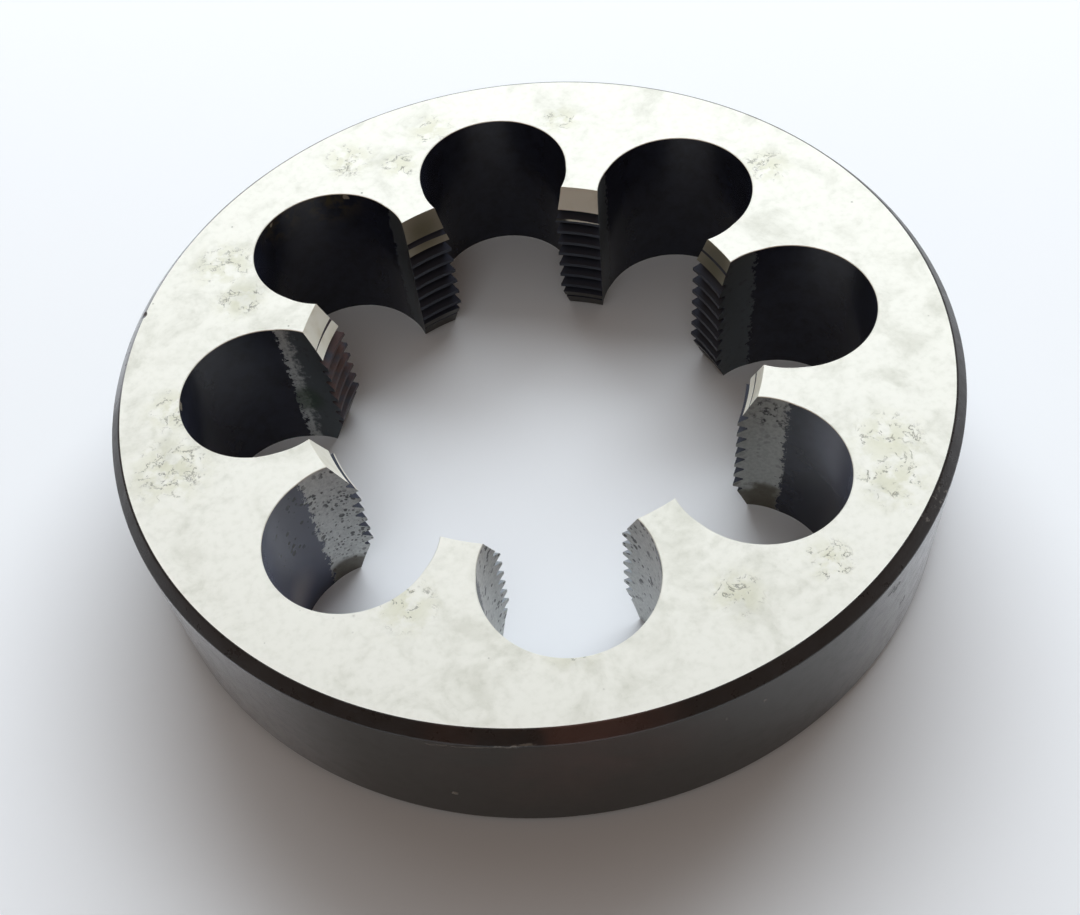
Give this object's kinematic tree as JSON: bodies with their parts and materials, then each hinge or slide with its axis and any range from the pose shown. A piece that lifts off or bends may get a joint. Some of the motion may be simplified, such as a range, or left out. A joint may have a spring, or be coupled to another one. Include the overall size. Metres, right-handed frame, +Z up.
{
  "type": "round threading die",
  "caption": "Round solid threading die: a chamfered steel disc with a threaded bore parted into lands by round clearance holes.",
  "frame": {"origin": "centre of the lower face, on the thread's axis", "axes": "+Z up along the thread's axis, from the lower face to the upper face; a clearance hole lies on +X"},
  "size_m": [0.075, 0.075, 0.016],
  "materials": {
    "tool_steel": "ground on the faces, dark from heat treatment elsewhere"
  },
  "bodies": {
    "root": {"die": "tool_steel"}
  },
  "joints": []
}
